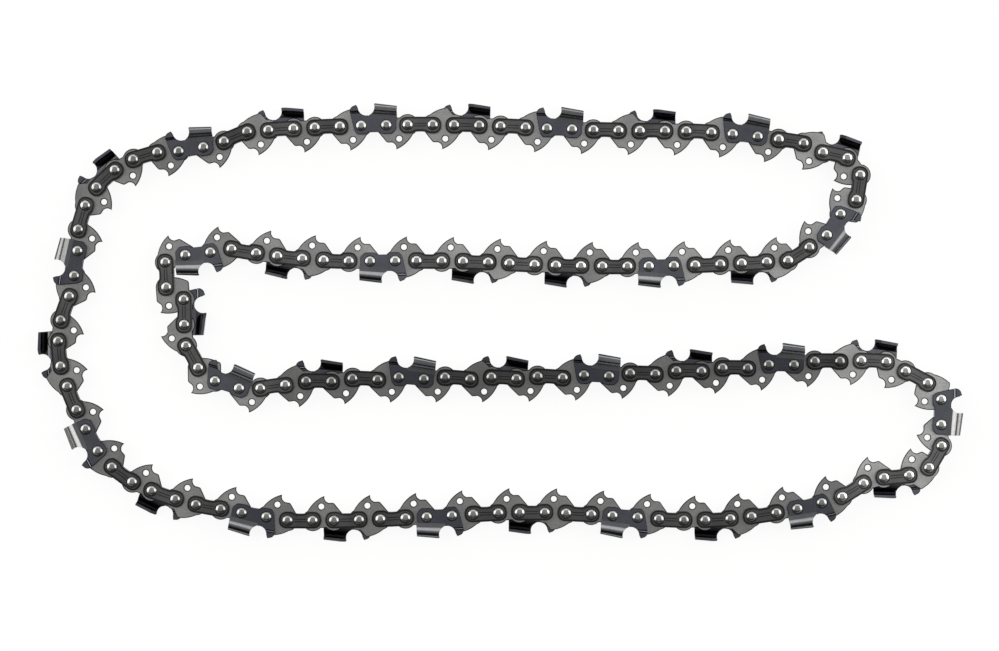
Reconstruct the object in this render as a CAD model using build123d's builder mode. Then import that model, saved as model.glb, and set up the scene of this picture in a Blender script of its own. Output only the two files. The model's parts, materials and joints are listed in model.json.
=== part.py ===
from build123d import *
import os
from cmath import phase, rect
from math import asin, cos, degrees, pi, radians, sin, tan

# Saw chain loop lying on its side, in millimetres: X along the loop, Z up, resting on Z = 0.
# Each link is drawn in its own frame: X from its first rivet to its second, Y towards the
# cutting side and Z across the chain, with the chain's middle plane at Z = 0.

# Pitch and layers
link_pitch = 7.58
strap_pitch = 8.93
gauge = 1.47
side_play = 0.05
strap_thickness = 1.25

# Rivets, and the flats that stand for round edges, to keep the faces of so many pieces few.
# A rivet turns freely in a drive link, inside the flats of its hole.
rivet_sides = 8
gullet_sides = 12
lobe_step_angle = 36
shank_diameter = 2.5
head_diameter = 3.4
head_height = 0.45
seat_clearance = 0.02
running_clearance = 0.04

# Drive link: lobes round its rivets, and a hooked tang that runs in the bar's groove
lobe_radius = 3.85
valley_height = 2.7
tang_depth = 8.7
tang_tip = 3.4
tang_rear_angle = 62
tang_front_angle = 45
tang_rise = 0.7
hook_depth = 6.2
hook_width = 1.4
hook_sag = 0.55
step_front = 0.1
oil_hole_diameter = 2.1
oil_hole_along = 4.5
oil_hole_depth = 4.9

# Bumper: the ramp of the drive link that runs beside a depth gauge
bumper_height = 6.5
bumper_peak = 5.1
bumper_foot_angle = 105
bumper_rear_angle = 95
bumper_rise = 0.35
bumper_chamfer = 0.6

# Tie strap: straight outer edge, waisted inner edge and cornered ends
strap_reach = 3.1
strap_edge = 2.85
strap_lobe = 3.12
strap_corner = 1.6
waist_depth = 2.33
waist_start = 1.6
waist_ramp = 1.2

# Cutter: a plate with a depth gauge, a round gullet and a top plate folded over the chain
plate_front = 2.0
plate_front_drop = 1.9
plate_front_corner = 1.0
plate_rear = 3.55
gauge_front = 3.95
gauge_nose = 4.8
gauge_shoulder = 6.2
gauge_tip = 1.5
gauge_height = 7.6
gullet_radius = 2.95
gullet_along = 1.95
gullet_height = 6.5
fold_front = 2.6
fold_start = 2.8
fold_end = 5.0
fold_root = 0.6
cutter_set = 1.05
top_plate_height = 8.2
top_plate_front = 4.3
top_plate_rear = 12.8
top_plate_width = 4.3
top_plate_thickness = 1.1
top_plate_angle = 30
top_plate_fall = 5
corner_radius = 1.8

# Lie of the loop: how many drive links each run has, and the headings in degrees that the chain
# turns through, evenly spaced from the run's first link to its last. Three of the runs are bent
# a little more to close the loop, as noted below.
drive_link_counts = {
    "top_run": 12,
    "upper_bend": 4,
    "upper_inner_run": 12,
    "inner_bend": 6,
    "lower_inner_run": 12,
    "lower_bend": 6,
    "bottom_run": 12,
    "left_run": 14,
}
heading_angles = {
    "top_run": [4, 1, -3, 0, -9],
    "upper_bend": [-25, -13, -53, -99, -138, -123, -145, -148],
    "upper_inner_run": [-176, -179, -183, -179, -190],
    "inner_bend": [-171, -174, -160, -88, -35, -89, -85, -61, -38, -17, 0, 8],
    "lower_inner_run": [5, 0, 2, 4, 5],
    "lower_bend": [2, -3, -26, -28, -51, -90, -89, -120, -159, -175, -164, -148],
    "bottom_run": [-163, -173, -184, -182, -176, -177, -180],
    "left_run": [-189, -190, -204, -241, -252, -290, -272, -317, -358, -338],
}
lower_inner_weave_angle = 5
joining_section = 11

strap_inside = gauge / 2 + side_play
strap_outside = strap_inside + strap_thickness
cutter_outside = strap_outside + cutter_set
shank_radius = shank_diameter / 2
seat_radius = shank_radius + seat_clearance


def on_lobe(along, angle):
    """Point on the lobe round the rivet at this place along the link."""
    return (along + lobe_radius * cos(radians(angle)), lobe_radius * sin(radians(angle)))


def lobe(along, first, last):
    """Corners of a drive link's edge round a rivet, between two angles."""
    steps = round((last - first) / lobe_step_angle)
    return [on_lobe(along, first + (last - first) * step / steps) for step in range(steps + 1)]


def curve(start, end, rise, steps=3):
    """Corners between two points, on a curve that rises to the left of the way there."""
    way = complex(*end) - complex(*start)
    across = rise * way * 1j / abs(way)
    found = []
    for step in range(1, steps):
        share = step / steps
        point = complex(*start) + way * share + across * 4 * share * (1 - share)
        found.append((point.real, point.imag))
    return found


def make_drive_link(bumper):
    """Drive link with its tang and oil hole. A bumper link also has the ramp."""
    tip = (tang_tip, -tang_depth)
    hook = (tang_tip - hook_width, -hook_depth)
    rear = on_lobe(link_pitch, -tang_rear_angle)
    front_angle = 180 + tang_front_angle
    valley_angle = degrees(asin(valley_height / lobe_radius))
    if bumper:
        peak = (bumper_peak, bumper_height)
        foot = on_lobe(0, bumper_foot_angle)
        edge = lobe(link_pitch, -tang_rear_angle, bumper_rear_angle) + [peak]
        edge += curve(peak, foot, -bumper_rise, 2) + lobe(0, bumper_foot_angle, front_angle)
    else:
        edge = lobe(link_pitch, -tang_rear_angle, 180 - valley_angle)
        edge += lobe(0, valley_angle, front_angle)
    edge += [(step_front, -hook_depth), hook, *curve(hook, tip, hook_sag)]
    edge += [tip, *curve(tip, rear, -tang_rise)]
    with BuildPart() as link:
        with BuildSketch() as side:
            Polygon(*edge, align=None)
            if bumper:
                chamfer(side.vertices().sort_by(Axis.Y)[-1], bumper_chamfer)
            with Locations((0, 0), (link_pitch, 0)):
                bore = shank_radius + running_clearance
                RegularPolygon(bore, rivet_sides, major_radius=False, mode=Mode.SUBTRACT)
            with Locations((oil_hole_along, -oil_hole_depth)):
                RegularPolygon(oil_hole_diameter / 2, rivet_sides, mode=Mode.SUBTRACT)
        extrude(amount=gauge / 2, both=True)
    return link


def strap_outline():
    """Corners of a tie strap, round from its outer edge."""
    end = [
        (strap_corner - strap_reach, strap_edge),
        (-strap_reach, strap_edge - strap_corner),
        (-strap_reach, strap_corner - strap_lobe),
        (strap_corner - strap_reach, -strap_lobe),
        (waist_start, -strap_lobe),
        (waist_start + waist_ramp, -waist_depth),
    ]
    return end + [(strap_pitch - along, across) for along, across in reversed(end)]


def make_tie_strap():
    """Loose strap of a plain link, on the upper side."""
    with BuildPart() as strap:
        with BuildSketch(Plane.XY.offset(strap_inside)):
            Polygon(*strap_outline(), align=None)
            with Locations((0, 0), (strap_pitch, 0)):
                RegularPolygon(seat_radius, rivet_sides, mode=Mode.SUBTRACT)
        extrude(amount=strap_thickness)
    return strap


def make_riveted_strap():
    """Strap on the lower side with its two rivets, headed at both ends."""
    with BuildPart() as strap:
        with BuildSketch(Plane.XY.offset(-strap_outside)):
            Polygon(*strap_outline(), align=None)
        extrude(amount=strap_thickness)
        with BuildSketch(Plane.XY.offset(-strap_inside)):
            with Locations((0, 0), (strap_pitch, 0)):
                RegularPolygon(shank_radius, rivet_sides)
        extrude(amount=strap_inside + strap_outside)
        for face in (strap_outside, -strap_outside - head_height):
            with BuildSketch(Plane.XY.offset(face)):
                with Locations((0, 0), (strap_pitch, 0)):
                    RegularPolygon(head_diameter / 2, rivet_sides)
            extrude(amount=head_height)
    return strap


def make_cutter():
    """Cutter on the upper side, with its depth gauge over its first rivet."""
    rear = strap_pitch + plate_rear
    outline = [
        (waist_start + waist_ramp, -waist_depth),
        (waist_start, -strap_lobe),
        (-plate_front_corner, -strap_lobe),
        (-plate_front, -plate_front_drop),
        (-gauge_front, gauge_nose),
        (-gauge_front, gauge_shoulder),
        (-gauge_tip, gauge_height),
        (fold_front, gauge_height),
        (fold_front, fold_start),
        (rear, fold_start),
        (rear, strap_corner - strap_lobe),
        (rear - strap_corner, -strap_lobe),
        (strap_pitch - waist_start, -strap_lobe),
        (strap_pitch - waist_start - waist_ramp, -waist_depth),
    ]
    fall = radians(top_plate_fall)
    fold_length = (top_plate_rear - fold_front) / cos(fall)
    lean = tan(radians(top_plate_angle))
    free_edge = cutter_outside - top_plate_width
    bevel = [
        (fold_front, cutter_outside),
        (top_plate_front, cutter_outside),
        (top_plate_front + lean * top_plate_width, free_edge),
        (fold_front, free_edge),
    ]
    crown = top_plate_height - corner_radius
    bend = cutter_outside - corner_radius
    underside = top_plate_height - top_plate_thickness
    inside = cutter_outside - top_plate_thickness
    diagonal = corner_radius * cos(pi / 4)
    inner_diagonal = (corner_radius - top_plate_thickness) * cos(pi / 4)
    root = fold_start - fold_root
    section = [
        (root, strap_outside),
        (fold_start, strap_outside),
        (fold_end, cutter_outside),
        (crown, cutter_outside),
        (crown + diagonal, bend + diagonal),
        (top_plate_height, bend),
        (top_plate_height, free_edge),
        (underside, free_edge),
        (underside, bend),
        (crown + inner_diagonal, bend + inner_diagonal),
        (crown, inside),
        (fold_end, inside),
        (fold_start, strap_inside),
        (root, strap_inside),
    ]
    with BuildPart() as cutter:
        with BuildSketch(Plane.XY.offset(strap_inside)):
            Polygon(*outline, align=None)
            with Locations((0, 0), (strap_pitch, 0)):
                RegularPolygon(seat_radius, rivet_sides, mode=Mode.SUBTRACT)
        extrude(amount=strap_thickness)
        with BuildSketch(Plane.YZ.offset(fold_front)):
            Polygon(*section, align=None)
        extrude(amount=fold_length, dir=(cos(fall), -sin(fall), 0))
        with BuildSketch(Plane.XZ.offset(-gullet_height)):
            Polygon(*bevel, align=None)
        extrude(amount=-top_plate_height, mode=Mode.SUBTRACT)
        with BuildSketch():
            with Locations((gullet_along, gullet_height)):
                RegularPolygon(gullet_radius, gullet_sides)
        extrude(amount=cutter_outside, both=True, mode=Mode.SUBTRACT)
    return cutter


# Lie of the chain. A place is a complex number, along X and Y.
link_lengths = (link_pitch, strap_pitch)


def headings(name, tilt=0, bow=0):
    """Heading of each link of a run, turned by tilt and bent by bow from end to end."""
    turns = heading_angles[name]
    links = 2 * drive_link_counts[name]
    weave = lower_inner_weave_angle if name == "lower_inner_run" else 0
    found = []
    for link in range(links):
        share = link / (links - 1)
        turn = min(int(share * (len(turns) - 1)), len(turns) - 2)
        past = share * (len(turns) - 1) - turn
        heading = turns[turn] + past * (turns[turn + 1] - turns[turn])
        heading += tilt + bow * (1 - 2 * share) + weave * (-1) ** link
        found.append(radians(heading))
    return found


def span(run):
    """From the first rivet of a run to the first rivet of the next."""
    return sum(rect(link_lengths[link % 2], heading) for link, heading in enumerate(run))


def fitted(name, target):
    """Headings of a run that is tilted and bowed until it spans the target."""
    tilt, bow, nudge = 0, 0, 0.01
    for _ in range(20):
        tilt += degrees(phase(target / span(headings(name, tilt, bow))))
        reach = abs(span(headings(name, tilt, bow)))
        slope = (abs(span(headings(name, tilt, bow + nudge))) - reach) / nudge
        bow += (abs(target) - reach) / slope
    return headings(name, tilt, bow)


# The two runs of each arm span the same way and back, so that an arm can swing as a
# parallelogram, and the left run closes the loop.
runs = {name: headings(name) for name in heading_angles}
runs["upper_inner_run"] = fitted("upper_inner_run", -span(runs["top_run"]))
runs["bottom_run"] = fitted("bottom_run", -span(runs["lower_inner_run"]))
bends = span(runs["upper_bend"]) + span(runs["inner_bend"]) + span(runs["lower_bend"])
runs["left_run"] = fitted("left_run", -bends)

bumper_link = make_drive_link(True).part
drive_link = make_drive_link(False).part
upper_cutter = make_cutter().part
lower_cutter = mirror(upper_cutter, about=Plane.XY)
lower_riveted_strap = make_riveted_strap().part
upper_riveted_strap = mirror(lower_riveted_strap, about=Plane.XY)
tie_strap = make_tie_strap().part

# Each section of four links is a bumper drive link, a cutter, a drive link and a plain link.
sections = sum(drive_link_counts.values()) // 2
pieces = {}
place = 0
section = 0
for name, run in runs.items():
    kinds = ("bumper_drive_links", "drive_links", "cutters", "tie_straps", "riveted_straps")
    group = {kind: [] for kind in kinds}
    for link, heading in enumerate(run):
        spot = Location((place.real, place.imag, cutter_outside), (0, 0, degrees(heading)))
        upper = (section - joining_section) % sections % 2 == 1
        if link % 4 == 0:
            group["bumper_drive_links"].append(bumper_link.moved(spot))
        elif link % 4 == 1:
            group["cutters"].append((upper_cutter if upper else lower_cutter).moved(spot))
            strap = lower_riveted_strap if upper else upper_riveted_strap
            group["riveted_straps"].append(strap.moved(spot))
        elif link % 4 == 2:
            group["drive_links"].append(drive_link.moved(spot))
        else:
            group["tie_straps"].append(tie_strap.moved(spot))
            group["riveted_straps"].append(lower_riveted_strap.moved(spot))
            section += 1
        place += rect(link_lengths[link % 2], heading)
    pieces[name] = group

# The loop is centred over the origin.
everything = [piece for group in pieces.values() for kind in group.values() for piece in kind]
middle = Compound(everything).bounding_box().center()
centring = Location((-middle.X, -middle.Y, 0))
os.makedirs("parts", exist_ok=True)
for name, group in pieces.items():
    for kind, copies in group.items():
        node = Compound(children=[piece.moved(centring) for piece in copies])
        node.label = f"{name}_{kind}"
        export_step(node, f"parts/{name}_{kind}.step")
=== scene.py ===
"""Finish and fine detail of a saw chain loop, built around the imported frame.

Each link is drawn in millimetres in its own frame: X from its first rivet to its second, Y towards
the cutting side and Z across the chain, with the chain's middle plane at Z = 0. It is then placed
in the row frame, in metres.
"""

import json
import random
from cmath import phase, rect
from math import acos, asin, cos, degrees, pi, radians, sin, sqrt, tan

import bmesh
import bpy
import numpy as np
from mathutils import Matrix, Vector
from mathutils.geometry import tessellate_polygon

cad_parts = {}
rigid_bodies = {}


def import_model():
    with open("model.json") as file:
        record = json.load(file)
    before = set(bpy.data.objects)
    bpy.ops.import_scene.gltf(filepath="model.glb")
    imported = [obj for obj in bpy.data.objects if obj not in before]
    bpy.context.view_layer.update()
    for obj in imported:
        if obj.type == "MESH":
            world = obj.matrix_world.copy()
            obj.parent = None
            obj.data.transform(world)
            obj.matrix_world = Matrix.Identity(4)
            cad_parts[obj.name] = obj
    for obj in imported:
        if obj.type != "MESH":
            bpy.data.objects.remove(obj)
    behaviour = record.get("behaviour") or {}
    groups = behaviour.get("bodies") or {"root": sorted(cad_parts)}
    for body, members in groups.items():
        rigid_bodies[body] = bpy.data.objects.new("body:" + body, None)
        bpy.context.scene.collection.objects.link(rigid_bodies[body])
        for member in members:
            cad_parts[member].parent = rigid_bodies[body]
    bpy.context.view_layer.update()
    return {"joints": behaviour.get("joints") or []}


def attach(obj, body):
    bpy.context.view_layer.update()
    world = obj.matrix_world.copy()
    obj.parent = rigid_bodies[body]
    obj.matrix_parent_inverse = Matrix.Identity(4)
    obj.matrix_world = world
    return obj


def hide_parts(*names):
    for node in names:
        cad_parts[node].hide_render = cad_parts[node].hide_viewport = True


for leftover in list(bpy.data.objects):
    bpy.data.objects.remove(leftover)
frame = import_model()
mm = 0.001

# Pitch and layers
link_pitch = 7.58
strap_pitch = 8.93
drive_link_thickness = 1.47
side_play = 0.05
strap_thickness = 1.25
cutter_set = 1.05
strap_inside = drive_link_thickness / 2 + side_play
strap_outside = strap_inside + strap_thickness
cutter_outside = strap_outside + cutter_set

# Rivets. The head's profile is radii and heights above the strap.
shank_radius = 1.25
seat_radius = 1.27
bore_radius = 1.29
head_profile = [
    (0.5, 0.448),
    (0.85, 0.435),
    (1.02, 0.405),
    (1.15, 0.35),
    (1.28, 0.265),
    (1.4, 0.175),
    (1.5, 0.12),
    (1.62, 0.1),
    (1.7, 0.05),
    (1.7, 0.012),
]
# A thin flat ring round each head, level with the strap and near-black, is a painted shadow
shadow_ring_radius = 2.05
shadow_ring_rise = 0.012
head_height = 0.45
rivet_segments = 28
hole_segments = 24

# Drive link
lobe_radius = 3.85
lobe_step_angle = 9
valley_height = 2.7
tang_depth = 8.7
tang_tip = 3.4
tang_rear_angle = 62
tang_front_angle = 45
tang_rise = 0.7
hook_depth = 6.2
hook_width = 1.4
hook_sag = 0.55
step_front = 0.1
step_rounding = 0.5
oil_hole_radius = 1.05
oil_hole_along = 4.5
oil_hole_depth = 4.9
bumper_height = 6.5
bumper_peak = 5.1
bumper_foot_angle = 105
bumper_rear_angle = 95
bumper_rise = 0.35
bumper_rounding = 1.0
link_edge = 0.32

# Tie strap, with a coined border and a pair of ridges between its rivets
strap_reach = 3.1
strap_edge = 2.85
strap_lobe = 3.12
strap_corner = 1.6
waist_depth = 2.33
waist_start = 1.6
waist_ramp = 1.2
strap_rounding = 1.3
border_drop = 0.18
border_width = 0.55
ridge_length = 4.4
ridge_width = 0.3
ridge_height = 0.05
ridge_spread = 0.45

# Cutter. The fold's profile is heights above the rivets and rises from the strap's outer face.
# Over its first points the fold thins from the strap's thickness to the top plate's.
plate_front = 2.5
plate_front_drop = 1.6
plate_front_corner = 1.4
plate_rear = 3.55
plate_rounding = 0.6
gauge_front = 3.95
gauge_nose = 4.8
gauge_shoulder = 5.5
gauge_rear = 6.2
gauge_tip = 1.65
gauge_height = 7.6
gauge_rounding = 0.6
gauge_bulge = 0.4
gauge_fold = 4.5
gauge_ramp = 0.65
gauge_set = 0.36
gullet_radius = 2.95
gullet_along = 1.95
gullet_height = 6.5
fold_front = 2.6
plate_top = 2.8
plate_top_front = 3.6
fold_start = 3.4
fold_profile = [
    (2.2, -0.03),
    (2.8, 0.01),
    (fold_start, 0.05),
    (4.2, 0.12),
    (4.5, 0.28),
    (5.0, 0.63),
    (5.4, 0.89),
    (5.75, 1.04),
    (6.0, 1.05),
    (6.5, 0.99),
    (7.0, 0.85),
    (7.4, 0.66),
    (7.75, 0.38),
    (7.95, 0.12),
    (8.1, -0.2),
    (8.18, -0.5),
    (8.2, -0.75),
]
thinning_points = 3
# The fold's outer rounding from this height to the free edge is near-black: a painted dark
# reflection along the rim
painted_rim_start = 7.75
# The fold's inner face beyond this height is near-black: painted shade under the top plate
painted_hollow_start = 4.2
top_plate_height = 8.2
top_plate_front = 4.3
top_plate_rear = 12.8
top_plate_width = 4.3
top_plate_thickness = 1.1
top_plate_angle = 30
fold_fall = 4
top_plate_fall = 8
plate_edge = 0.14
cutter_edge = 0.22

# Lie of the loop, as in the frame: drive links in each run, and the headings in degrees that the
# chain turns through from the run's first link to its last
drive_link_counts = {
    "top_run": 12,
    "upper_bend": 4,
    "upper_inner_run": 12,
    "inner_bend": 6,
    "lower_inner_run": 12,
    "lower_bend": 6,
    "bottom_run": 12,
    "left_run": 14,
}
heading_angles = {
    "top_run": [4, 1, -3, 0, -9],
    "upper_bend": [-25, -13, -53, -99, -138, -123, -145, -148],
    "upper_inner_run": [-176, -179, -183, -179, -190],
    "inner_bend": [-171, -174, -160, -88, -35, -89, -85, -61, -38, -17, 0, 8],
    "lower_inner_run": [5, 0, 2, 4, 5],
    "lower_bend": [2, -3, -26, -28, -51, -90, -89, -120, -159, -175, -164, -148],
    "bottom_run": [-163, -173, -184, -182, -176, -177, -180],
    "left_run": [-189, -190, -204, -241, -252, -290, -272, -317, -358, -338],
}
lower_inner_weave_angle = 5
joining_section = 11
link_lengths = (link_pitch, strap_pitch)

# Drawing: steps of curves and corners, the share of a side that a corner may take, the limit of a
# mitre, the middle of a rounded edge, rounds of fitting, and the least angle of a sharp edge
curve_steps = 8
corner_steps = 5
corner_share = 0.45
mitre_limit = 0.5
edge_middle = 0.3
settling_rounds = 12
fitting_rounds = 20
bow_nudge = 0.01
sharp_angle = 20

# Material places within a piece. The second place is near-black: painted shade and dark reflection
# on rounded edges, ridges, rings round the rivets and the cutters' rims and hollows.
FACE, PAINTED_DARK, PLATED = 0, 1, 2


# Outlines


def evenly(first, last, steps):
    """Values from the first to the last in even steps."""
    return [first + (last - first) * step / steps for step in range(steps + 1)]


def on_lobe(along, angle):
    """Point on the lobe round the rivet at this place along a drive link."""
    return (along + lobe_radius * cos(radians(angle)), lobe_radius * sin(radians(angle)))


def lobe(along, first, last):
    """Edge of a drive link round a rivet, between two angles."""
    steps = round((last - first) / lobe_step_angle)
    return [on_lobe(along, angle) for angle in evenly(first, last, steps)]


def curve(start, end, rise):
    """Points between two others, on a curve that rises to the left of the way there."""
    way = complex(*end) - complex(*start)
    across = rise * way * 1j / abs(way)
    found = []
    for step in range(1, curve_steps):
        share = step / curve_steps
        point = complex(*start) + way * share + across * 4 * share * (1 - share)
        found.append((point.real, point.imag))
    return found


def circle(along, across, radius, segments=hole_segments):
    """Points of a circle, counter-clockwise."""
    turns = [2 * pi * step / segments for step in range(segments)]
    return [(along + radius * cos(turn), across + radius * sin(turn)) for turn in turns]


def eased(before, corner, after, cut):
    """A corner rounded by a curve that leaves its two sides at this distance from it."""
    corner = Vector(corner)
    sides = [Vector(before) - corner, Vector(after) - corner]
    cuts = [min(cut, corner_share * side.length) for side in sides]
    first, last = [corner + side.normalized() * part for side, part in zip(sides, cuts)]
    found = []
    for share in evenly(0, 1, corner_steps):
        found.append(tuple(first.lerp(corner, share).lerp(corner.lerp(last, share), share)))
    return found


def rounded(points, cut):
    """Closed outline with every corner rounded."""
    found = []
    for index, corner in enumerate(points):
        found += eased(points[index - 1], corner, points[(index + 1) % len(points)], cut)
    return found


def inset(points, distance):
    """Closed counter-clockwise outline moved inwards, with its mitres limited."""
    found = []
    for index, point in enumerate(points):
        here = complex(*point)
        before = here - complex(*points[index - 1])
        after = complex(*points[(index + 1) % len(points)]) - here
        normals = [1j * way / abs(way) for way in (before, after)]
        both = sum(normals)
        moved = here + distance * both / max(abs(both) ** 2 / 2, mitre_limit)
        found.append((moved.real, moved.imag))
    return found


def drive_link_outline(bumper):
    """Edge of a drive link, counter-clockwise from the rear of its tang."""
    tip = (tang_tip, -tang_depth)
    hook = (tang_tip - hook_width, -hook_depth)
    rear = on_lobe(link_pitch, -tang_rear_angle)
    front_angle = 180 + tang_front_angle
    step = (step_front, -hook_depth)
    valley_angle = degrees(asin(valley_height / lobe_radius))
    if bumper:
        peak = (bumper_peak, bumper_height)
        foot = on_lobe(0, bumper_foot_angle)
        edge = lobe(link_pitch, -tang_rear_angle, bumper_rear_angle)
        edge += eased(edge[-1], peak, foot, bumper_rounding)
        edge += curve(edge[-1], foot, -bumper_rise) + lobe(0, bumper_foot_angle, front_angle)
    else:
        edge = lobe(link_pitch, -tang_rear_angle, 180 - valley_angle)
        edge += lobe(0, valley_angle, front_angle)
    edge += eased(edge[-1], step, hook, step_rounding) + [hook] + curve(hook, tip, hook_sag)
    return edge + [tip] + curve(tip, rear, -tang_rise)


def strap_outline():
    """Edge of a tie strap, counter-clockwise."""
    end = [
        (strap_corner - strap_reach, strap_edge),
        (-strap_reach, strap_edge - strap_corner),
        (-strap_reach, strap_corner - strap_lobe),
        (strap_corner - strap_reach, -strap_lobe),
        (waist_start, -strap_lobe),
        (waist_start + waist_ramp, -waist_depth),
    ]
    points = end + [(strap_pitch - along, across) for along, across in reversed(end)]
    return rounded(points, strap_rounding)


def cutter_outline():
    """Edge of a cutter's flat plate up to its folds, counter-clockwise."""
    rear = strap_pitch + plate_rear
    return rounded(
        [
            (rear, plate_top),
            (plate_top_front, plate_top),
            *gullet_floor(),
            (gauge_front_at(gauge_fold), gauge_fold),
            (-plate_front, -plate_front_drop),
            (-plate_front_corner, -strap_lobe),
            (waist_start, -strap_lobe),
            (waist_start + waist_ramp, -waist_depth),
            (strap_pitch - waist_start - waist_ramp, -waist_depth),
            (strap_pitch - waist_start, -strap_lobe),
            (rear - strap_corner, -strap_lobe),
            (rear, strap_corner - strap_lobe),
        ],
        plate_rounding,
    )


def gullet_at(across):
    """Front and rear of the gullet at this height above the rivets."""
    half = sqrt(gullet_radius**2 - (across - gullet_height) ** 2)
    return (gullet_along - half, gullet_along + half)


def gullet_floor():
    """Bottom of the gullet, from the fold to the depth gauge."""
    first = -acos((fold_front - gullet_along) / gullet_radius)
    last = asin((gullet_height - gauge_fold) / gullet_radius) - pi
    return [
        (gullet_along + gullet_radius * cos(turn), gullet_height + gullet_radius * sin(turn))
        for turn in evenly(first, last, curve_steps)
    ]


def gauge_front_at(across):
    """Front edge of a cutter at this height above the rivets, below the depth gauge's nose."""
    share = (across + plate_front_drop) / (gauge_nose + plate_front_drop)
    return -plate_front - min(share, 1) * (gauge_front - plate_front)


def gauge_outline(low, high):
    """Edge of a part of the depth gauge between two heights, counter-clockwise."""
    levels = evenly(low, min(high, gauge_rear), curve_steps)
    hollow = [(gullet_at(level)[0], level) for level in levels]
    if high < gauge_height:
        return hollow + [(gauge_front_at(high), high), (gauge_front_at(low), low)]
    tip, shoulder = (-gauge_tip, gauge_height), (-gauge_front, gauge_shoulder)
    edge = hollow + eased(hollow[-1], tip, shoulder, gauge_rounding)
    return edge + curve(edge[-1], shoulder, -gauge_bulge) + [shoulder, (-gauge_front, low)]


# Meshes of single links: points, faces and the material place of each face


def plate(outline, holes, levels):
    """Plate with holes, built of rings from below upwards. A level is an inset and a height."""
    points, faces, places, rows = [], [], [], []
    for inwards, height in levels:
        rings = [inset(outline, inwards)]
        rings += [circle(along, across, radius + inwards) for along, across, radius in holes]
        row = []
        for ring in rings:
            row.append(range(len(points), len(points) + len(ring)))
            points += [(along, across, height) for along, across in ring]
        rows.append(row)
    for index in range(1, len(rows)):
        # Rings between bevels take the near-black place: painted shade and dark reflection along the
        # rounded edges
        wall = FACE if levels[index][0] == levels[index - 1][0] else PAINTED_DARK
        for low, high in zip(rows[index - 1], rows[index]):
            for here in range(len(low)):
                there = (here + 1) % len(low)
                faces.append((low[here], low[there], high[there], high[here]))
                places.append(wall)
    for row in (rows[0], rows[-1]):
        order = [index for ring in row for index in ring]
        rings = [[Vector(points[index]) for index in ring] for ring in row]
        for corners in tessellate_polygon(rings):
            faces.append(tuple(order[corner] for corner in corners))
            places.append(FACE)
    return points, faces, places


def eased_levels(low, high, edge):
    """Rings of a plate with both its edges rounded."""
    middle = edge_middle * edge
    return [
        (edge, low),
        (middle, low + middle),
        (0, low + edge),
        (0, high - edge),
        (middle, high - middle),
        (edge, high),
    ]


def joined(*meshes):
    """Several meshes as one."""
    points, faces, places = [], [], []
    for some_points, some_faces, some_places in meshes:
        start = len(points)
        points += list(some_points)
        faces += [tuple(start + index for index in face) for face in some_faces]
        places += list(some_places)
    return points, faces, places


def flipped(mesh):
    """The same piece on the other side of the chain."""
    points, faces, places = mesh
    turned = [tuple(reversed(face)) for face in faces]
    return [(along, across, -height) for along, across, height in points], turned, places


def drive_link(bumper):
    """Drive link with rounded edges, round bores and a round oil hole."""
    holes = [
        (0, 0, bore_radius),
        (link_pitch, 0, bore_radius),
        (oil_hole_along, -oil_hole_depth, oil_hole_radius),
    ]
    half = drive_link_thickness / 2
    return plate(drive_link_outline(bumper), holes, eased_levels(-half, half, link_edge))


def strap_ridge(across):
    """Ridge between a strap's rivets, at this distance from the line through them. It is near-black
    all over, a painted shade line.
    """
    half, middle = ridge_length / 2, strap_pitch / 2
    corners = [
        (middle - half, across - ridge_width / 2),
        (middle + half, across - ridge_width / 2),
        (middle + half, across + ridge_width / 2),
        (middle - half, across + ridge_width / 2),
    ]
    levels = [(0, strap_outside - plate_edge), (0, strap_outside + ridge_height)]
    points, faces, _ = plate(rounded(corners, ridge_width / 2), [], levels)
    return points, faces, [PAINTED_DARK] * len(faces)


def strap():
    """Tie strap on the upper side, with its coined border and ridges."""
    border = strap_outside - border_drop
    third = plate_edge / 3
    levels = [
        (plate_edge, strap_inside),
        (0, strap_inside + plate_edge),
        (0, border - plate_edge),
        (third, border - third),
        (plate_edge, border),
        (border_width, border),
        (border_width + border_drop, strap_outside),
    ]
    body = plate(strap_outline(), [], levels)
    return joined(body, strap_ridge(-ridge_spread), strap_ridge(ridge_spread))


def fold_section():
    """Outer and inner points of a section through the fold, from its root to its free edge."""
    outer = [(across, strap_outside + rise) for across, rise in fold_profile]
    outer.append((top_plate_height, cutter_outside - top_plate_width))
    inner = []
    for index, point in enumerate(outer):
        before, after = outer[max(index - 1, 0)], outer[min(index + 1, len(outer) - 1)]
        way = complex(*after) - complex(*before)
        share = min(index / thinning_points, 1)
        thickness = strap_thickness + share * (top_plate_thickness - strap_thickness)
        moved = complex(*point) - thickness * 1j * way / abs(way)
        inner.append((moved.real, moved.imag))
    return outer, inner


def fallen(across, along):
    """Height above the rivets of a line of the fold, which falls towards the rear."""
    share = (across - fold_start) / (top_plate_height - fold_start)
    fall = fold_fall + min(max(share, 0), 1) * (top_plate_fall - fold_fall)
    return across - tan(radians(fall)) * (along - fold_front)


def fold_front_at(across, height):
    """Where a line of the fold starts, behind the gullet and the angled edge of the top plate."""
    along = fold_front
    for _ in range(settling_rounds):
        level = fallen(across, along)
        along = fold_front
        if abs(level - gullet_height) < gullet_radius:
            along = max(along, gullet_at(level)[1])
        if level > gullet_height:
            lean = tan(radians(top_plate_angle)) * (cutter_outside - height)
            along = max(along, top_plate_front + lean)
    return along


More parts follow.
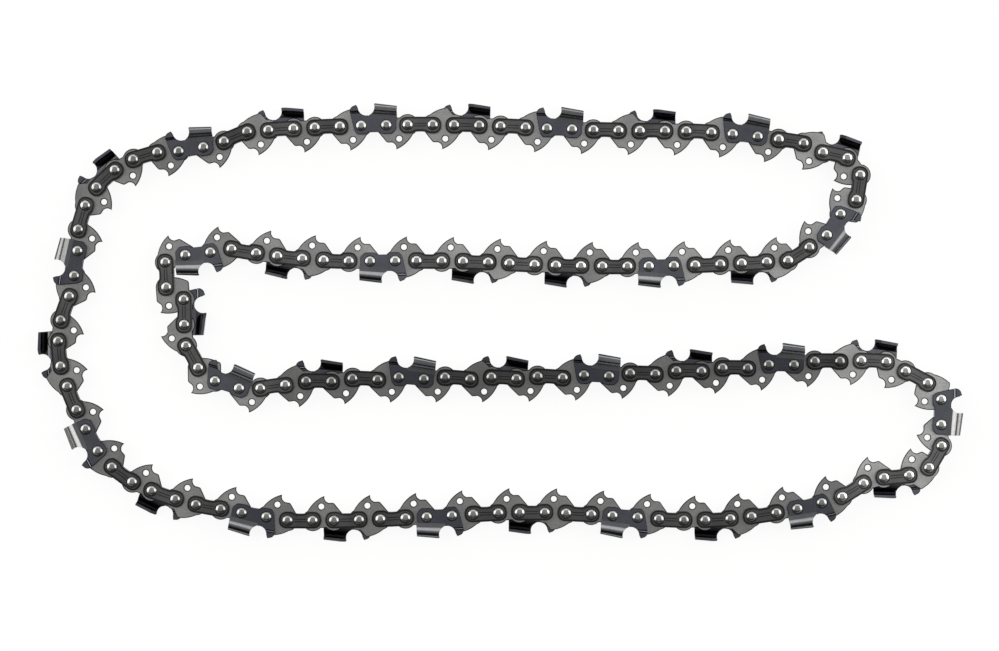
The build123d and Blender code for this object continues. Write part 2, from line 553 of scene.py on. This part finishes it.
def cutter_fold():
    """Folded part of a cutter: its leaning side and its top plate, with a painted dark reflection
    along the rim and painted shade on the inside.
    """
    outer, inner = fold_section()
    loop = outer + list(reversed(inner))
    points = []
    for across, height in loop:
        for along in (fold_front_at(across, height), top_plate_rear):
            points.append((along, fallen(across, along), height))
    faces, places = [], []
    count = len(loop)
    for here in range(count):
        there = (here + 1) % count
        faces.append((2 * here, 2 * there, 2 * there + 1, 2 * here + 1))
        # Near-black on the rim is painted dark reflection, and inside the fold it is painted shade
        if here < len(outer) - 1:
            on_painted_rim = painted_rim_start <= loop[here][0] < top_plate_height
            places.append(PAINTED_DARK if on_painted_rim else PLATED)
        else:
            hollow = here >= len(outer) and loop[there][0] > painted_hollow_start
            places.append(PAINTED_DARK if hollow else FACE)
    for here in range(len(outer) - 1):
        corners = [here, here + 1, count - 2 - here, count - 1 - here]
        for end in (0, 1):
            faces.append(tuple(2 * corner + end for corner in corners))
            places.append(PAINTED_DARK)
    return points, faces, places


def cutter():
    """Cutter on the upper side: flat plate, stepped depth gauge and fold."""
    levels = eased_levels(strap_inside, strap_outside, cutter_edge)
    holes = [(0, 0, seat_radius), (strap_pitch, 0, seat_radius)]
    body = plate(cutter_outline(), holes, levels)
    ramp_end = gauge_fold + gauge_ramp
    points, faces, places = plate(gauge_outline(gauge_fold, ramp_end), [], levels)
    raised = [
        (along, across, height + gauge_set * (across - gauge_fold) / gauge_ramp)
        for along, across, height in points
    ]
    levels = [(inwards, height + gauge_set) for inwards, height in levels]
    tip = plate(gauge_outline(ramp_end, gauge_height), [], levels)
    return joined(body, (raised, faces, places), tip, cutter_fold())


def rivet():
    """Rivet with a peened head at both ends, turned about its axis, with a near-black ring round
    each head that is painted shadow on the strap.
    """
    top = [(radius, strap_outside + rise) for radius, rise in head_profile]
    top.append((shadow_ring_radius, strap_outside + shadow_ring_rise))
    top.append((shank_radius, strap_outside - shadow_ring_rise))
    profile = top + [(radius, -height) for radius, height in reversed(top)]
    points, faces, places = [], [], []
    for radius, height in profile:
        points += [(x, y, height) for x, y in circle(0, 0, radius, rivet_segments)]
    rings = len(profile)
    shadow_ring = len(head_profile) - 1
    for ring in range(rings - 1):
        # The flat ring round each head is near-black: painted shadow
        wall = PAINTED_DARK if ring in (shadow_ring, rings - 2 - shadow_ring) else FACE
        for here in range(rivet_segments):
            there = (here + 1) % rivet_segments
            low, high = ring * rivet_segments, (ring + 1) * rivet_segments
            faces.append((low + here, low + there, high + there, high + here))
            places.append(wall)
    crown = strap_outside + head_height
    points += [(0, 0, crown), (0, 0, -crown)]
    last = (rings - 1) * rivet_segments
    for here in range(rivet_segments):
        there = (here + 1) % rivet_segments
        faces.append((len(points) - 2, here, there))
        faces.append((len(points) - 1, last + there, last + here))
        places += [FACE, FACE]
    return points, faces, places


# Lie of the chain. A place is a complex number, along X and Y.


def headings(name, tilt=0, bow=0):
    """Heading of each link of a run, turned by tilt and bent by bow from end to end."""
    turns = heading_angles[name]
    links = 2 * drive_link_counts[name]
    weave = lower_inner_weave_angle if name == "lower_inner_run" else 0
    found = []
    for link in range(links):
        share = link / (links - 1)
        turn = min(int(share * (len(turns) - 1)), len(turns) - 2)
        past = share * (len(turns) - 1) - turn
        heading = turns[turn] + past * (turns[turn + 1] - turns[turn])
        heading += tilt + bow * (1 - 2 * share) + weave * (-1) ** link
        found.append(radians(heading))
    return found


def span(run):
    """From the first rivet of a run to the first rivet of the next."""
    return sum(rect(link_lengths[link % 2], heading) for link, heading in enumerate(run))


def fitted(name, target):
    """Headings of a run that is tilted and bowed until it spans the target."""
    tilt, bow = 0, 0
    for _ in range(fitting_rounds):
        tilt += degrees(phase(target / span(headings(name, tilt, bow))))
        reach = abs(span(headings(name, tilt, bow)))
        slope = (abs(span(headings(name, tilt, bow + bow_nudge))) - reach) / bow_nudge
        bow += (abs(target) - reach) / slope
    return headings(name, tilt, bow)


runs = {name: headings(name) for name in heading_angles}
runs["upper_inner_run"] = fitted("upper_inner_run", -span(runs["top_run"]))
runs["bottom_run"] = fitted("bottom_run", -span(runs["lower_inner_run"]))
bends = span(runs["upper_bend"]) + span(runs["inner_bend"]) + span(runs["lower_bend"])
runs["left_run"] = fitted("left_run", -bends)


# Materials. Noise lies between about noise_low and noise_high.

noise_low, noise_high = 0.3, 0.7
grain_detail = 3
mottle_detail = 2
mottle_depth = 0.12
gloss_variation = 0.15
bump_strength = 0.5


def new_material(name):
    """Empty node material with its Principled shader."""
    material = bpy.data.materials.new(name)
    material.use_nodes = True
    tree = material.node_tree
    return material, tree, tree.nodes["Principled BSDF"]


def noise(tree, scale, detail):
    """Noise in the row frame, so that grain has its real size."""
    place = tree.nodes.new("ShaderNodeTexCoord")
    texture = tree.nodes.new("ShaderNodeTexNoise")
    texture.inputs["Scale"].default_value = scale
    texture.inputs["Detail"].default_value = detail
    tree.links.new(place.outputs["Object"], texture.inputs["Vector"])
    return texture.outputs["Fac"]


def spread(tree, value, low, high, start=0.0, end=1.0):
    """Maps a value from start to end onto low to high."""
    node = tree.nodes.new("ShaderNodeMapRange")
    node.inputs["From Min"].default_value = start
    node.inputs["From Max"].default_value = end
    node.inputs["To Min"].default_value = low
    node.inputs["To Max"].default_value = high
    tree.links.new(value, node.inputs["Value"])
    return node.outputs["Result"]


def varied(tree, value, middle, depth):
    """A level that noise varies on both sides of its middle, by this share of it."""
    return spread(tree, value, middle * (1 - depth), middle * (1 + depth), noise_low, noise_high)


def combined(tree, operation, first, second):
    """Result of a math node on two values."""
    node = tree.nodes.new("ShaderNodeMath")
    node.operation = operation
    tree.links.new(first, node.inputs[0])
    tree.links.new(second, node.inputs[1])
    return node.outputs[0]


def metal(name, colour, roughness, grain, grain_depth, mottle, bump_depth, with_tone_and_painted_light=True):
    """Steel with fine grain, slow mottling, uneven gloss and, where asked, each link's random tone
    times the painted light and shade of its run.
    """
    material, tree, shader = new_material(name)
    fine = noise(tree, grain, grain_detail)
    slow = noise(tree, mottle, mottle_detail)
    grained, mottled = varied(tree, fine, 1, grain_depth), varied(tree, slow, 1, mottle_depth)
    shade = combined(tree, "MULTIPLY", grained, mottled)
    if with_tone_and_painted_light:
        tone_and_painted_light = tree.nodes.new("ShaderNodeAttribute")
        tone_and_painted_light.attribute_name = "tone_and_painted_light"
        shade = combined(tree, "MULTIPLY", shade, tone_and_painted_light.outputs["Fac"])
    scale = tree.nodes.new("ShaderNodeVectorMath")
    scale.operation = "SCALE"
    scale.inputs[0].default_value = colour
    tree.links.new(shade, scale.inputs["Scale"])
    tree.links.new(scale.outputs["Vector"], shader.inputs["Base Color"])
    shader.inputs["Metallic"].default_value = 1
    rough = varied(tree, slow, roughness, gloss_variation)
    tree.links.new(rough, shader.inputs["Roughness"])
    bump = tree.nodes.new("ShaderNodeBump")
    bump.inputs["Strength"].default_value = bump_strength
    bump.inputs["Distance"].default_value = bump_depth * mm
    tree.links.new(fine, bump.inputs["Height"])
    tree.links.new(bump.outputs["Normal"], shader.inputs["Normal"])
    return material


link_steel = metal(
    "drive_link_steel",
    (0.525, 0.525, 0.525),
    roughness=0.32, grain=1600, grain_depth=0.14, mottle=90, bump_depth=0.006,
)
# Near-black steel of the drive links' rounded edges: painted shade and dark reflection
link_painted_dark_edge = metal(
    "drive_link_painted_dark_edge",
    (0.02, 0.02, 0.021),
    roughness=0.45, grain=1600, grain_depth=0.2, mottle=90, bump_depth=0.01,
)
strap_steel = metal(
    "strap_steel",
    (0.184, 0.184, 0.187),
    roughness=0.32, grain=1600, grain_depth=0.12, mottle=120, bump_depth=0.006,
)
# Near-black steel of the straps' rounded edges and ridges: painted shade and dark reflection
strap_painted_dark_edge = metal(
    "strap_edge",
    (0.05, 0.05, 0.051),
    roughness=0.4, grain=1600, grain_depth=0.15, mottle=120, bump_depth=0.01,
)
cutter_steel = metal(
    "cutter_steel",
    (0.173, 0.18, 0.212),
    roughness=0.24, grain=1200, grain_depth=0.08, mottle=120, bump_depth=0.004,
)
# Near-black steel of the cutters' rounded edges, rims and hollows: painted shade and dark reflection
cutter_painted_dark_edge = metal(
    "cutter_edge",
    (0.025, 0.025, 0.028),
    roughness=0.3, grain=1200, grain_depth=0.08, mottle=120, bump_depth=0.004,
)
cutter_plating = metal(
    "cutter_plating",
    (0.22, 0.223, 0.232),
    roughness=0.2, grain=1200, grain_depth=0.08, mottle=120, bump_depth=0.004, with_tone_and_painted_light=False,
)
rivet_steel = metal(
    "rivet_steel",
    (0.52, 0.52, 0.515),
    roughness=0.16, grain=2500, grain_depth=0.2, mottle=400, bump_depth=0.012,
)
# Near-black of the ring round each rivet head: painted shadow
rivet_painted_shadow = metal(
    "rivet_painted_shadow",
    (0.035, 0.035, 0.036),
    roughness=0.45, grain=1600, grain_depth=0.15, mottle=120, bump_depth=0.01,
)


# Pieces

# Painted light and shade: each run's links are made lighter or darker by its factor, as the light
# fell on that run
painted_light_by_run = {
    "top_run": 1.0,
    "upper_bend": 1.15,
    "upper_inner_run": 1.15,
    "inner_bend": 1.0,
    "lower_inner_run": 0.58,
    "lower_bend": 1.4,
    "bottom_run": 0.84,
    "left_run": 0.82,
}
link_variation = 0.12
tone_seed = 5
chance = random.Random(tone_seed)


def build_piece(name, run, copies, materials):
    """One mesh of placed copies. A copy is a mesh, a place in millimetres and a heading."""
    points, faces, places, tones_and_painted_light = [], [], [], []
    count = 0
    for (some_points, some_faces, some_places), place, heading in copies:
        local = np.array(some_points)
        forward = [cos(heading), sin(heading), 0]
        left = [-sin(heading), cos(heading), 0]
        turn = np.array([forward, left, [0, 0, 1]])
        points.append(local @ turn + [place.real, place.imag, cutter_outside])
        faces += [tuple(count + index for index in face) for face in some_faces]
        places += some_places
        # Each copy's tone: the painted light and shade of its run, times a random tone of its own
        tone_and_painted_light = painted_light_by_run[run] * chance.uniform(1 - link_variation, 1 + link_variation)
        tones_and_painted_light += [tone_and_painted_light] * len(local)
        count += len(local)
    mesh = bpy.data.meshes.new(name)
    mesh.from_pydata((np.concatenate(points) * mm).tolist(), [], faces)
    for material in materials:
        mesh.materials.append(material)
    mesh.polygons.foreach_set("material_index", places)
    mesh.attributes.new("tone_and_painted_light", "FLOAT", "POINT").data.foreach_set("value", tones_and_painted_light)
    sheet = bmesh.new()
    sheet.from_mesh(mesh)
    bmesh.ops.recalc_face_normals(sheet, faces=sheet.faces)
    sheet.to_mesh(mesh)
    sheet.free()
    mesh.shade_smooth()
    mesh.set_sharp_from_angle(angle=radians(sharp_angle))
    piece = bpy.data.objects.new(name, mesh)
    bpy.context.scene.collection.objects.link(piece)
    return piece


def dress(run, kind, copies, materials):
    """Builds the piece that stands for a group of links and rides with its run."""
    piece = build_piece(f"{run}_{kind}_finished", run, copies, materials)
    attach(piece, run)
    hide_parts(f"{run}_{kind}")


bumper_link, plain_link = drive_link(True), drive_link(False)
upper_strap, upper_cutter = strap(), cutter()
lower_strap, lower_cutter = flipped(upper_strap), flipped(upper_cutter)
one_rivet = rivet()

# A section is a bumper drive link, a cutter facing a riveted strap, a drive link, and two straps.
# Cutters change sides from section to section, and two lower ones follow each other where the
# loop, which has an odd count of sections, is joined.
BUMPER, CUTTER, PLAIN, STRAPS = range(4)
sections = sum(drive_link_counts.values()) // 2
first_joint = next(joint for joint in frame["joints"] if joint["name"] == "upper_arm_swing")
place = complex(*first_joint["pos_m"][:2]) / mm
section = 0
for name, run in runs.items():
    bumpers, plains, cutters, ties, riveted, rivets = [], [], [], [], [], []
    for link, heading in enumerate(run):
        kind = link % 4
        upper = (section - joining_section) % sections % 2 == 1
        following = place + rect(link_lengths[link % 2], heading)
        if kind == BUMPER:
            bumpers.append((bumper_link, place, heading))
        elif kind == CUTTER:
            cutters.append((upper_cutter if upper else lower_cutter, place, heading))
            riveted.append((lower_strap if upper else upper_strap, place, heading))
        elif kind == PLAIN:
            plains.append((plain_link, place, heading))
        elif kind == STRAPS:
            ties.append((upper_strap, place, heading))
            riveted.append((lower_strap, place, heading))
            section += 1
        if kind in (CUTTER, STRAPS):
            rivets += [(one_rivet, place, heading), (one_rivet, following, heading)]
        place = following
    dress(name, "bumper_drive_links", bumpers, [link_steel, link_painted_dark_edge])
    dress(name, "drive_links", plains, [link_steel, link_painted_dark_edge])
    dress(name, "cutters", cutters, [cutter_steel, cutter_painted_dark_edge, cutter_plating])
    dress(name, "tie_straps", ties, [strap_steel, strap_painted_dark_edge])
    dress(name, "riveted_straps", riveted, [strap_steel, strap_painted_dark_edge])
    headed = build_piece(f"{name}_rivets", name, rivets, [rivet_steel, rivet_painted_shadow])
    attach(headed, name)
    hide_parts(f"{name}_riveted_straps")


# Stage, light and camera, in metres

floor_size = 6.0
floor_gap = 0.1 * mm
floor_grey = 0.9
floor_roughness = 0.9
floor_glow = 1.04
floor_white = 0.88
softbox_place = (0.95, 0.15, 0.75)
softbox_size = (0.9, 0.75)
softbox_radiance = 2.2
softbox_colour = (1, 0.97, 0.88)
photo_width = 0.3554
camera_height = 1.4
camera_place = (-0.0002, -0.0010)
sensor_width = 36

# Studio: its brightness by height, from the horizon at 0 to overhead at 1. The near side dims to
# near_light by near_start, except at the horizon, whose light fades over the heights of horizon_top.
studio_levels = [
    (0.0, 0.03),
    (0.12, 0.6),
    (0.24, 2.1),
    (0.42, 1.9),
    (0.56, 0.45),
    (0.75, 0.48),
    (0.93, 0.42),
]
near_light = 0.04
near_start = -0.4
horizon_top = (0.18, 0.32)


def add_floor():
    """Pale floor that is white to the camera and in reflections, and keeps a soft shadow."""
    half = floor_size / 2
    signs = [(-1, -1), (1, -1), (1, 1), (-1, 1)]
    mesh = bpy.data.meshes.new("floor")
    mesh.from_pydata([(half * x, half * y, -floor_gap) for x, y in signs], [], [(0, 1, 2, 3)])
    material, tree, shader = new_material("floor")
    shader.inputs["Base Color"].default_value = (floor_grey, floor_grey, floor_grey, 1)
    shader.inputs["Roughness"].default_value = floor_roughness
    glow = tree.nodes.new("ShaderNodeEmission")
    glow.inputs["Strength"].default_value = floor_glow
    path = tree.nodes.new("ShaderNodeLightPath")
    seen = path.outputs["Is Camera Ray"]
    for kind in ("Is Glossy Ray", "Is Transmission Ray"):
        seen = combined(tree, "MAXIMUM", seen, path.outputs[kind])
    mix = tree.nodes.new("ShaderNodeMixShader")
    tree.links.new(spread(tree, seen, 0, floor_white), mix.inputs["Fac"])
    tree.links.new(shader.outputs["BSDF"], mix.inputs[1])
    tree.links.new(glow.outputs["Emission"], mix.inputs[2])
    tree.links.new(mix.outputs["Shader"], tree.nodes["Material Output"].inputs["Surface"])
    mesh.materials.append(material)
    floor = bpy.data.objects.new("floor", mesh)
    bpy.context.scene.collection.objects.link(floor)


def add_softbox(name, side):
    """Rectangular lamp on the right, 1, or the left, -1, aimed at the middle of the chain."""
    out, back, up = softbox_place
    width, height = softbox_size
    lamp = bpy.data.lights.new(name, "AREA")
    lamp.shape = "RECTANGLE"
    lamp.size, lamp.size_y = width, height
    lamp.energy = softbox_radiance * pi * width * height
    lamp.color = softbox_colour
    holder = bpy.data.objects.new(name, lamp)
    holder.location = (side * out, back, up)
    holder.rotation_euler = (-holder.location).to_track_quat("-Z", "Y").to_euler()
    bpy.context.scene.collection.objects.link(holder)


def add_world():
    """Studio with a bright band above the horizon, dim overhead, and dark high on the near side."""
    world = bpy.data.worlds.new("studio")
    bpy.context.scene.world = world
    world.use_nodes = True
    tree = world.node_tree
    place = tree.nodes.new("ShaderNodeTexCoord")
    parts = tree.nodes.new("ShaderNodeSeparateXYZ")
    tree.links.new(place.outputs["Generated"], parts.inputs["Vector"])
    ramp = tree.nodes.new("ShaderNodeValToRGB")
    stops = ramp.color_ramp.elements
    while len(stops) < len(studio_levels):
        stops.new(1)
    for stop, (height, level) in zip(stops, studio_levels):
        stop.position = height
        stop.color = (level, level, level, 1)
    tree.links.new(parts.outputs["Z"], ramp.inputs["Fac"])
    background = tree.nodes["Background"]
    tree.links.new(ramp.outputs["Color"], background.inputs["Color"])
    near_side = spread(tree, parts.outputs["Y"], near_light, 1, near_start, 0)
    horizon = spread(tree, parts.outputs["Z"], 1, 0, *horizon_top)
    tree.links.new(combined(tree, "MAXIMUM", near_side, horizon), background.inputs["Strength"])


add_floor()
add_world()
add_softbox("right_softbox", 1)
add_softbox("left_softbox", -1)

camera = bpy.data.cameras.new("camera")
camera.sensor_width = sensor_width
camera.lens = sensor_width * (camera_height - cutter_outside * mm) / photo_width
holder = bpy.data.objects.new("camera", camera)
holder.location = (*camera_place, camera_height)
bpy.context.scene.collection.objects.link(holder)
bpy.context.scene.camera = holder
bpy.context.scene.view_settings.view_transform = "Standard"
